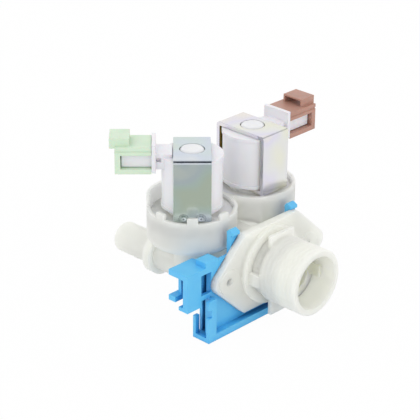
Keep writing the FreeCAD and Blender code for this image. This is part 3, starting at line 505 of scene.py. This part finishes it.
def smooth_faces(mesh):
    """Shades a mesh smooth, apart from its real edges."""
    mesh.shade_smooth()
    mesh.set_sharp_from_angle(angle=EDGE_ANGLE)


def set_finish(piece, material):
    """Gives a piece this material alone."""
    piece.data.materials.clear()
    piece.data.materials.append(material)


def bake_modifiers(piece):
    """Makes a piece the plain mesh that its modifiers give, and takes them off."""
    graph = bpy.context.evaluated_depsgraph_get()
    mesh = bpy.data.meshes.new_from_object(piece.evaluated_get(graph))
    piece.modifiers.clear()
    old = piece.data
    piece.data = mesh
    bpy.data.meshes.remove(old)
    mesh.name = piece.name


def round_edges(piece, radius):
    """Rounds a piece's edges by this radius."""
    bevel = piece.modifiers.new("Edges", "BEVEL")
    bevel.width = radius
    bevel.segments = 2
    bevel.limit_method = "ANGLE"
    bevel.angle_limit = EDGE_ANGLE
    bevel.miter_outer = "MITER_SHARP"
    bevel.use_clamp_overlap = True
    flat = piece.modifiers.new("Flat faces", "WEIGHTED_NORMAL")
    flat.weight = 100
    flat.keep_sharp = True


def stand_for(piece, node, slot, material=None):
    """Gives a piece its material and lets it ride on the valve in place of a CAD node."""
    set_finish(piece, material or finish_for_slot(slot))
    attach(piece, "valve")
    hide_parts(node)


def dress(node, name, slot, radius=None, material=None):
    """Makes the piece that stands for a CAD node, with rounded edges and its material."""
    piece = joined_copy(node, name)
    smooth_faces(piece.data)
    if radius:
        round_edges(piece, radius)
        bake_modifiers(piece)
    stand_for(piece, node, slot, material)


# Geometry Nodes


def new_tree(name, inputs):
    """A Geometry Nodes tree with named number inputs, and its group input node."""
    tree = bpy.data.node_groups.new(name, "GeometryNodeTree")
    tree.interface.new_socket("Geometry", in_out="OUTPUT", socket_type="NodeSocketGeometry")
    for label, kind in inputs:
        tree.interface.new_socket(label, in_out="INPUT", socket_type=kind)
    return tree, add_node(tree, "NodeGroupInput").outputs


def close_tree(tree, geometry, material):
    """Ends a tree in Realize Instances, Set Material and its output."""
    real = add_node(tree, "GeometryNodeRealizeInstances", {0: geometry})
    coloured = add_node(tree, "GeometryNodeSetMaterial", {"Geometry": real.outputs[0], "Material": material})
    add_node(tree, "NodeGroupOutput", {0: coloured.outputs[0]})


def grow(tree, name, values):
    """Runs a tree with these input values and keeps the result as a plain mesh."""
    piece = link(bpy.data.objects.new(name, bpy.data.meshes.new(name)))
    modifier = piece.modifiers.new("Grow", "NODES")
    modifier.node_group = tree
    for item in tree.interface.items_tree:
        if item.in_out == "INPUT" and item.name in values:
            modifier[item.identifier] = values[item.name]
    bake_modifiers(piece)
    return piece


def coiled_wire_tree(material):
    """A round wire coiled into a helix that rises along Z from the origin."""
    tree, given = new_tree("Coiled wire", (
        ("Turns", "NodeSocketFloat"),
        ("Radius", "NodeSocketFloat"),
        ("Height", "NodeSocketFloat"),
        ("Wire radius", "NodeSocketFloat"),
        ("Steps per turn", "NodeSocketInt"),
        ("Wire sides", "NodeSocketInt"),
    ))
    helix = add_node(tree, "GeometryNodeCurveSpiral", {
        "Resolution": given["Steps per turn"],
        "Rotations": given["Turns"],
        "Start Radius": given["Radius"],
        "End Radius": given["Radius"],
        "Height": given["Height"],
    })
    section = add_node(tree, "GeometryNodeCurvePrimitiveCircle", {
        "Resolution": given["Wire sides"],
        "Radius": given["Wire radius"],
    })
    wire = add_node(tree, "GeometryNodeCurveToMesh", {
        "Curve": helix.outputs[0],
        "Profile Curve": section.outputs[0],
        "Fill Caps": True,
    })
    close_tree(tree, wire.outputs[0], material)
    return tree


def gauze_tree(material):
    """A sleeve of straight wires crossed by rings, round Z from the origin up."""
    tree, given = new_tree("Strainer gauze", (
        ("Radius", "NodeSocketFloat"),
        ("Length", "NodeSocketFloat"),
        ("Wire radius", "NodeSocketFloat"),
        ("Wires", "NodeSocketInt"),
        ("Rings", "NodeSocketInt"),
    ))
    section = add_node(tree, "GeometryNodeCurvePrimitiveCircle", {
        "Resolution": GAUZE_WIRE_SIDES, "Radius": given["Wire radius"]})
    end = add_node(tree, "ShaderNodeCombineXYZ", {"Z": given["Length"]})
    line = add_node(tree, "GeometryNodeCurvePrimitiveLine", {"End": end.outputs[0]})
    straight = add_node(tree, "GeometryNodeCurveToMesh", {
        "Curve": line.outputs[0], "Profile Curve": section.outputs[0], "Fill Caps": True})
    posts = add_node(tree, "GeometryNodeMeshCircle", {"Vertices": given["Wires"], "Radius": given["Radius"]})
    wires = add_node(tree, "GeometryNodeInstanceOnPoints", {
        "Points": posts.outputs[0], "Instance": straight.outputs[0]})
    hoop = add_node(tree, "GeometryNodeCurvePrimitiveCircle", {
        "Resolution": GAUZE_RING_STEPS, "Radius": given["Radius"]})
    ring = add_node(tree, "GeometryNodeCurveToMesh", {
        "Curve": hoop.outputs[0], "Profile Curve": section.outputs[0]})
    steps = add_node(tree, "GeometryNodeMeshLine", {
        "Count": given["Rings"], "Offset": end.outputs[0]}, mode="END_POINTS")
    rings = add_node(tree, "GeometryNodeInstanceOnPoints", {
        "Points": steps.outputs[0], "Instance": ring.outputs[0]})
    both = add_node(tree, "GeometryNodeJoinGeometry")
    tree.links.new(wires.outputs[0], both.inputs[0])
    tree.links.new(rings.outputs[0], both.inputs[0])
    close_tree(tree, both.outputs[0], material)
    return tree


# Sizes and colours that a user would change


class InletValveSizes(PropertyGroup):
    """Sizes of the details that are added round the frame."""

    plastic_edge: FloatProperty(
        name="Plastic edge", description="Radius of the moulded pieces' edges",
        default=0.25 * MM, min=0.0, soft_max=1 * MM, unit="LENGTH", precision=5)
    sheet_edge: FloatProperty(
        name="Sheet edge", description="Radius of the steel sheet's punched edges",
        default=0.12 * MM, min=0.0, soft_max=0.5 * MM, unit="LENGTH", precision=5)
    thread_pitch: FloatProperty(
        name="Thread pitch", description="Distance between the turns of the inlet's pipe thread",
        default=1.814 * MM, min=0.5 * MM, unit="LENGTH", precision=6)
    thread_depth: FloatProperty(
        name="Thread depth", description="How far the thread's groove is cut below its crest",
        default=0.16 * MM, min=0.05 * MM, unit="LENGTH", precision=5)
    gauze_wires: IntProperty(
        name="Gauze wires", description="Straight wires round the strainer's gauze",
        default=54, min=8, soft_max=120)


class InletValveLook(PropertyGroup):
    """Colours of the plastics."""

    body: FloatVectorProperty(
        name="Body", description="Natural polyamide of the valve's body",
        default=linear("#eff0e5"), size=3, min=0.0, max=1.0, subtype="COLOR")
    bracket: FloatVectorProperty(
        name="Bracket", description="Blue polypropylene of the mounting bracket",
        default=linear("#66c6f6"), size=3, min=0.0, max=1.0, subtype="COLOR")
    coil: FloatVectorProperty(
        name="Coils", description="White polyester of the coils and connectors",
        default=linear("#eeedf2"), size=3, min=0.0, max=1.0, subtype="COLOR")
    tube: FloatVectorProperty(
        name="Guide tubes", description="White polyamide of the guide tubes",
        default=linear("#eaebee"), size=3, min=0.0, max=1.0, subtype="COLOR")
    left_clip: FloatVectorProperty(
        name="Left clip", description="Coding colour of the left connector's clip",
        default=linear("#d8ebd4"), size=3, min=0.0, max=1.0, subtype="COLOR")
    right_clip: FloatVectorProperty(
        name="Right clip", description="Coding colour of the right connector's clip",
        default=linear("#bd9080"), size=3, min=0.0, max=1.0, subtype="COLOR")


# Pieces, one operator each

THREAD_CUTTER_RADIUS = 1.2 * MM
THREAD_RUN_OUT = 1.7 * MM
THREAD_OVERRUN = 2.0 * MM
THREAD_STEPS = 64
THREAD_CUTTER_SIDES = 14
SPIGOT_END_DEPTH = 3.0 * MM
# How far the spigot's threaded part ends in front of the strainer's closed end
NECK_FROM_STRAINER = 4.0 * MM


def thread_cutter(sizes, radius, start, end):
    """The round-bottomed helical groove of the inlet's thread, as a solid to cut away."""
    tree = coiled_wire_tree(finish_for_slot("nylon_natural"))
    length = end - start
    cutter = grow(tree, "thread_cutter", {
        "Turns": length / sizes.thread_pitch,
        "Radius": radius + THREAD_CUTTER_RADIUS - sizes.thread_depth,
        "Height": length,
        "Wire radius": THREAD_CUTTER_RADIUS,
        "Steps per turn": THREAD_STEPS,
        "Wire sides": THREAD_CUTTER_SIDES,
    })
    cutter.data.transform(Matrix.Translation((0, start, 0)) @ Matrix.Rotation(math.radians(-90), 4, "X"))
    return cutter


def spigot_crest(mesh):
    """The spigot's radius: the furthest that the body reaches from the inlet's axis close to its end."""
    low = min(v.co.y for v in mesh.vertices)
    near = [v.co for v in mesh.vertices if v.co.y < low + SPIGOT_END_DEPTH]
    return low, max(math.hypot(co.x, co.z) for co in near)


class INLETVALVE_OT_body(Operator):
    """Makes the body moulding, with the pipe thread cut into its spigot"""

    bl_idname = "inlet_valve.body"
    bl_label = "Body"

    def execute(self, context):
        sizes = context.scene.inlet_valve_sizes
        piece = joined_copy("valve_body", "body_moulding")
        tip, radius = spigot_crest(piece.data)
        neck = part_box("inlet_strainer")[1].y - NECK_FROM_STRAINER
        cutter = thread_cutter(sizes, radius, tip - THREAD_OVERRUN, neck - THREAD_RUN_OUT)
        cut = piece.modifiers.new("Thread", "BOOLEAN")
        cut.operation = "DIFFERENCE"
        cut.solver = "EXACT"
        cut.object = cutter
        bake_modifiers(piece)
        bpy.data.objects.remove(cutter)
        smooth_faces(piece.data)
        stand_for(piece, "valve_body", "nylon_natural")
        return {"FINISHED"}


class INLETVALVE_OT_bracket(Operator):
    """Makes the blue bracket moulding"""

    bl_idname = "inlet_valve.bracket"
    bl_label = "Bracket"

    def execute(self, context):
        edge = context.scene.inlet_valve_sizes.plastic_edge
        dress("mounting_bracket", "bracket_moulding", "nylon_blue", edge)
        return {"FINISHED"}


# How far the strainer's pull tab stands out in front of its rim
STRAINER_TAB = 5.0 * MM
GAUZE_WIRE_RADIUS = 0.11 * MM
GAUZE_WIRE_SIDES = 6
GAUZE_RINGS = 12
GAUZE_RING_STEPS = 72
GAUZE_RADIUS = 7.45 * MM
GAUZE_FRONT = 3.2 * MM
GAUZE_BACK = 1.6 * MM


class INLETVALVE_OT_strainer(Operator):
    """Finishes the inlet strainer and wraps its gauze inside its ribs"""

    bl_idname = "inlet_valve.strainer"
    bl_label = "Strainer"

    def execute(self, context):
        sizes = context.scene.inlet_valve_sizes
        material = finish_for_slot("strainer_plastic")
        set_finish(frame["nodes"]["inlet_strainer"], material)
        low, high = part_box("inlet_strainer")
        start = low.y + STRAINER_TAB + GAUZE_FRONT
        length = high.y - GAUZE_BACK - start
        gauze = grow(gauze_tree(material), "strainer_gauze", {
            "Radius": GAUZE_RADIUS,
            "Length": length,
            "Wire radius": GAUZE_WIRE_RADIUS,
            "Wires": sizes.gauze_wires,
            "Rings": GAUZE_RINGS,
        })
        gauze.data.transform(Matrix.Translation((0, start, 0)) @ Matrix.Rotation(math.radians(-90), 4, "X"))
        gauze.data.shade_smooth()
        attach(gauze, "valve")
        return {"FINISHED"}


class INLETVALVE_OT_coils(Operator):
    """Makes the coil mouldings, their terminal blades and the guide tubes"""

    bl_idname = "inlet_valve.coils"
    bl_label = "Coils"

    def execute(self, context):
        edge = context.scene.inlet_valve_sizes.plastic_edge
        sheet = context.scene.inlet_valve_sizes.sheet_edge
        for side in SIDES:
            dress(side + "_coil_housing", side + "_coil_moulding", "coil_polyester", edge)
            dress(side + "_terminals", side + "_blades", "brass_blades", sheet)
            dress(side + "_guide_tube", side + "_tube_moulding", "nylon_tube")
        return {"FINISHED"}


class INLETVALVE_OT_yokes(Operator):
    """Makes the plated steel yokes and the staked plates that close them"""

    bl_idname = "inlet_valve.yokes"
    bl_label = "Yokes"

    def execute(self, context):
        edge = context.scene.inlet_valve_sizes.sheet_edge
        films = {"left": blue_zinc, "right": yellow_zinc}
        for side in SIDES:
            metal = finish_of(films[side])
            dress(side + "_yoke", side + "_yoke_sheet", "zinc_steel", edge, metal)
            dress(side + "_yoke_plate", side + "_yoke_base", "zinc_steel", edge, metal)
        return {"FINISHED"}


class INLETVALVE_OT_clips(Operator):
    """Makes the two coding clips"""

    bl_idname = "inlet_valve.clips"
    bl_label = "Coding clips"

    def execute(self, context):
        edge = context.scene.inlet_valve_sizes.plastic_edge
        for side, slot in (("left", "clip_green"), ("right", "clip_brown")):
            dress(side + "_coding_clip", side + "_clip_moulding", slot, edge)
        return {"FINISHED"}


SPRING_WIRE_RADIUS = 0.3 * MM
SPRING_TURNS = 6.0
SPRING_STEPS = 28
SPRING_WIRE_SIDES = 10


class INLETVALVE_OT_springs(Operator):
    """Makes the plungers' return springs"""

    bl_idname = "inlet_valve.springs"
    bl_label = "Return springs"

    def execute(self, context):
        tree = coiled_wire_tree(finish_for_slot("spring_steel"))
        for side in SIDES:
            node = side + "_plunger_spring"
            low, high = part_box(node)
            centre = (low + high) / 2
            length = high.z - low.z
            spring = grow(tree, side + "_return_spring", {
                "Turns": SPRING_TURNS,
                "Radius": (high.x - low.x) / 2 - SPRING_WIRE_RADIUS,
                "Height": length - 2 * SPRING_WIRE_RADIUS,
                "Wire radius": SPRING_WIRE_RADIUS,
                "Steps per turn": SPRING_STEPS,
                "Wire sides": SPRING_WIRE_SIDES,
            })
            spring.data.transform(Matrix.Translation((centre.x, centre.y, low.z + SPRING_WIRE_RADIUS)))
            spring.data.shade_smooth()
            stand_for(spring, node, "spring_steel")
            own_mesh(spring)
        return {"FINISHED"}


class INLETVALVE_OT_inner_parts(Operator):
    """Gives the CAD pieces that keep their own shape their materials"""

    bl_idname = "inlet_valve.inner_parts"
    bl_label = "Inner parts"

    def execute(self, context):
        for row in frame["record"]["subparts"]:
            piece = frame["nodes"][row["node"]]
            if not piece.hide_render:
                set_finish(piece, finish_for_slot(row["material_slot"]))
        return {"FINISHED"}


# Studio

FLOOR_GAP = 0.3 * MM
FLOOR_HALF = 6.0
FLOOR_WHITE_SHARE = 0.97
WORLD_LEVEL = 1.0
# Each lamp's direction, as shares of the camera's right, its backward direction and straight up
KEY_TOWARDS = (0.45, 1.0, 0.12)
KEY_POWER = 0.4
KEY_SIZE = 0.8
FILL_TOWARDS = (-0.9, 0.5, 0.5)
FILL_POWER = 0.3
FILL_SIZE = 0.9
LAMP_DISTANCE = 1.0
# The ceiling's boards: from and to which height over the object, in degrees, and their grey
CEILING_CARDS = ((38, 58, "#2c2e34"), (58, 80, "#484a50"), (80, 102, "#808286"), (102, 124, "#b4b6b8"))
CEILING_RADIUS = 0.8
CEILING_HALF = 0.9
# The table card's corners: how far towards the camera, and to its right
TABLE_CARD = ((0.05, -0.22), (0.05, 0.06), (0.7, 0.18), (0.7, -0.3))
TABLE_CARD_LIFT = 0.2 * MM


def camera_axes():
    """The camera's right, up and backward directions, with its roll."""
    azimuth, elevation = CAMERA_AZIMUTH, CAMERA_ELEVATION
    back = Vector((
        math.sin(azimuth) * math.cos(elevation),
        -math.cos(azimuth) * math.cos(elevation),
        math.sin(elevation),
    ))
    right = Vector((math.cos(azimuth), math.sin(azimuth), 0))
    up = back.cross(right)
    rolled = right * math.cos(CAMERA_ROLL) + up * math.sin(CAMERA_ROLL)
    return rolled, back.cross(rolled), back


def looking(back, up_hint):
    """A turn that looks against the given direction."""
    right = up_hint.cross(back).normalized()
    up = back.cross(right)
    return Matrix((right, up, back)).transposed().to_4x4()


def add_camera():
    """The camera at the photograph's view, made the scene's own."""
    right, up, back = camera_axes()
    lens = bpy.data.cameras.new("camera")
    lens.sensor_width = SENSOR_MM
    lens.lens = SENSOR_MM * FOCAL_PIXELS / FRAME_PIXELS
    lens.clip_start = CAMERA_NEAREST
    lens.clip_end = CAMERA_FURTHEST
    camera = link(bpy.data.objects.new("camera", lens))
    turn = Matrix((right, up, back)).transposed().to_4x4()
    camera.matrix_world = Matrix.Translation(CAMERA_TARGET + back * CAMERA_DISTANCE) @ turn
    bpy.context.scene.camera = camera


def add_area_light(name, towards, size, power):
    """A soft square white lamp that stands in this direction from the object and shines at it."""
    lamp = bpy.data.lights.new(name, "AREA")
    lamp.shape = "SQUARE"
    lamp.size = size
    lamp.energy = power
    right, up, back = camera_axes()
    direction = (right * towards[0] + back * towards[1] + Vector((0, 0, towards[2]))).normalized()
    centre = (CAD_BOX[0] + CAD_BOX[1]) / 2
    light = link(bpy.data.objects.new(name, lamp))
    turn = looking(direction, Vector((0, 0, 1)))
    light.matrix_world = Matrix.Translation(centre + direction * LAMP_DISTANCE) @ turn


def set_world():
    """White for the rays that see the background, and an even sky at its own level for all other light."""
    world = bpy.data.worlds.new("studio")
    bpy.context.scene.world = world
    world.use_nodes = True
    tree = world.node_tree
    tree.nodes.clear()
    sky = add_node(tree, "ShaderNodeBackground", {"Color": opaque("#ffffff"), "Strength": WORLD_LEVEL})
    white = add_node(tree, "ShaderNodeBackground", {"Color": opaque("#ffffff"), "Strength": 1.0})
    mixed = add_node(tree, "ShaderNodeMixShader", {
        0: seeing_rays(tree), 1: sky.outputs[0], 2: white.outputs[0]})
    add_node(tree, "ShaderNodeOutputWorld", {0: mixed.outputs[0]})


def seeing_rays(tree):
    """One for camera, glossy and transmission rays, and nothing for the others."""
    path = add_node(tree, "ShaderNodeLightPath")
    some = add_node(tree, "ShaderNodeMath", {
        0: path.outputs["Is Camera Ray"], 1: path.outputs["Is Glossy Ray"]}, operation="MAXIMUM")
    every = add_node(tree, "ShaderNodeMath", {
        0: some.outputs[0], 1: path.outputs["Is Transmission Ray"]}, operation="MAXIMUM")
    return every.outputs[0]


def floor_material():
    """Pale studio board: nearly white to the eye, with the object's shadow kept faintly."""
    material, tree, shader = new_material("Pale studio board")
    shader.inputs["Base Color"].default_value = opaque("#f4f4f4")
    shader.inputs["Roughness"].default_value = 0.9
    shader.inputs["Specular IOR Level"].default_value = 0.0
    white = add_node(tree, "ShaderNodeEmission", {"Color": opaque("#ffffff"), "Strength": 1.0})
    share = add_node(tree, "ShaderNodeMath", {
        0: seeing_rays(tree), 1: FLOOR_WHITE_SHARE}, operation="MULTIPLY")
    mixed = add_node(tree, "ShaderNodeMixShader", {
        0: share.outputs[0], 1: shader.outputs[0], 2: white.outputs[0]})
    output = next(node for node in tree.nodes if node.bl_idname == "ShaderNodeOutputMaterial")
    tree.links.new(mixed.outputs[0], output.inputs["Surface"])
    return material


def flat_board(name, corners, material):
    """A four-cornered board for the stage."""
    mesh = bpy.data.meshes.new(name)
    mesh.from_pydata(corners, [], [(0, 1, 2, 3)])
    board = link(bpy.data.objects.new(name, mesh))
    set_finish(board, material)
    return board


def glowing_card(name, colour):
    """The material of a card that only reflections see."""
    material = bpy.data.materials.new(name)
    material.use_nodes = True
    tree = material.node_tree
    tree.nodes.clear()
    glow = add_node(tree, "ShaderNodeEmission", {"Color": opaque(colour), "Strength": 1.0})
    add_node(tree, "ShaderNodeOutputMaterial", {"Surface": glow.outputs[0]})
    return material


def only_in_reflections(board):
    """Hides a board from all but the rays that bounce off gloss."""
    board.visible_camera = False
    board.visible_diffuse = False
    board.visible_shadow = False
    board.visible_transmission = False
    board.visible_volume_scatter = False


def add_cards():
    """A ceiling of grey boards, darkest in front, and a grey card on the table, for bare metal to reflect."""
    right, up, back = camera_axes()
    level = Vector((back.x, back.y, 0)).normalized()
    side = Vector((right.x, right.y, 0)).normalized()
    rise = Vector((0, 0, 1))
    for index, (start, end, colour) in enumerate(CEILING_CARDS):
        angles = (math.radians(start), math.radians(end))
        edges = [(level * math.cos(angle) + rise * math.sin(angle)) * CEILING_RADIUS for angle in angles]
        corners = [
            edges[0] - side * CEILING_HALF,
            edges[0] + side * CEILING_HALF,
            edges[1] + side * CEILING_HALF,
            edges[1] - side * CEILING_HALF,
        ]
        name = "ceiling_card_%d" % index
        only_in_reflections(flat_board(name, corners, glowing_card(name, colour)))
    table = rise * (CAD_BOX[0].z + TABLE_CARD_LIFT)
    corners = [table + level * near + side * across for near, across in TABLE_CARD]
    only_in_reflections(flat_board("grey_card", corners, glowing_card("Grey card", "#c6ccc4")))


class INLETVALVE_OT_stage(Operator):
    """Sets up the floor, the lamps, the white surroundings and the camera"""

    bl_idname = "inlet_valve.stage"
    bl_label = "Stage"

    def execute(self, context):
        context.scene.view_settings.view_transform = "Standard"
        set_world()
        height = CAD_BOX[0].z - FLOOR_GAP
        half = FLOOR_HALF
        corners = [(-half, -half, height), (half, -half, height), (half, half, height), (-half, half, height)]
        flat_board("floor", corners, floor_material())
        add_cards()
        add_area_light("key_light", KEY_TOWARDS, KEY_SIZE, KEY_POWER)
        add_area_light("fill_light", FILL_TOWARDS, FILL_SIZE, FILL_POWER)
        add_camera()
        return {"FINISHED"}


# Panel and registration

STEPS = (
    INLETVALVE_OT_stage,
    INLETVALVE_OT_body,
    INLETVALVE_OT_bracket,
    INLETVALVE_OT_strainer,
    INLETVALVE_OT_coils,
    INLETVALVE_OT_yokes,
    INLETVALVE_OT_clips,
    INLETVALVE_OT_springs,
    INLETVALVE_OT_inner_parts,
)


class INLETVALVE_PT_panel(Panel):
    """Lists the sizes, the colours and the steps that dress the valve"""

    bl_label = "Water Inlet Valve"
    bl_idname = "INLETVALVE_PT_panel"
    bl_space_type = "VIEW_3D"
    bl_region_type = "UI"
    bl_category = "Inlet Valve"

    def draw(self, context):
        layout = self.layout
        for group in (context.scene.inlet_valve_sizes, context.scene.inlet_valve_look):
            box = layout.box()
            for name in group.__annotations__:
                box.prop(group, name)
        for step in STEPS:
            layout.operator(step.bl_idname)


CLASSES = (InletValveSizes, InletValveLook, *STEPS, INLETVALVE_PT_panel)


def register():
    """Registers the classes and gives the scene its sizes and colours."""
    for cls in CLASSES:
        bpy.utils.register_class(cls)
    bpy.types.Scene.inlet_valve_sizes = PointerProperty(type=InletValveSizes)
    bpy.types.Scene.inlet_valve_look = PointerProperty(type=InletValveLook)


def unregister():
    """Takes the sizes, the colours and the classes away again."""
    del bpy.types.Scene.inlet_valve_look
    del bpy.types.Scene.inlet_valve_sizes
    for cls in reversed(CLASSES):
        bpy.utils.unregister_class(cls)


def main():
    """Runs every step in order."""
    register()
    for step in STEPS:
        group, name = step.bl_idname.split(".")
        getattr(getattr(bpy.ops, group), name)()


if __name__ == "__main__":
    main()
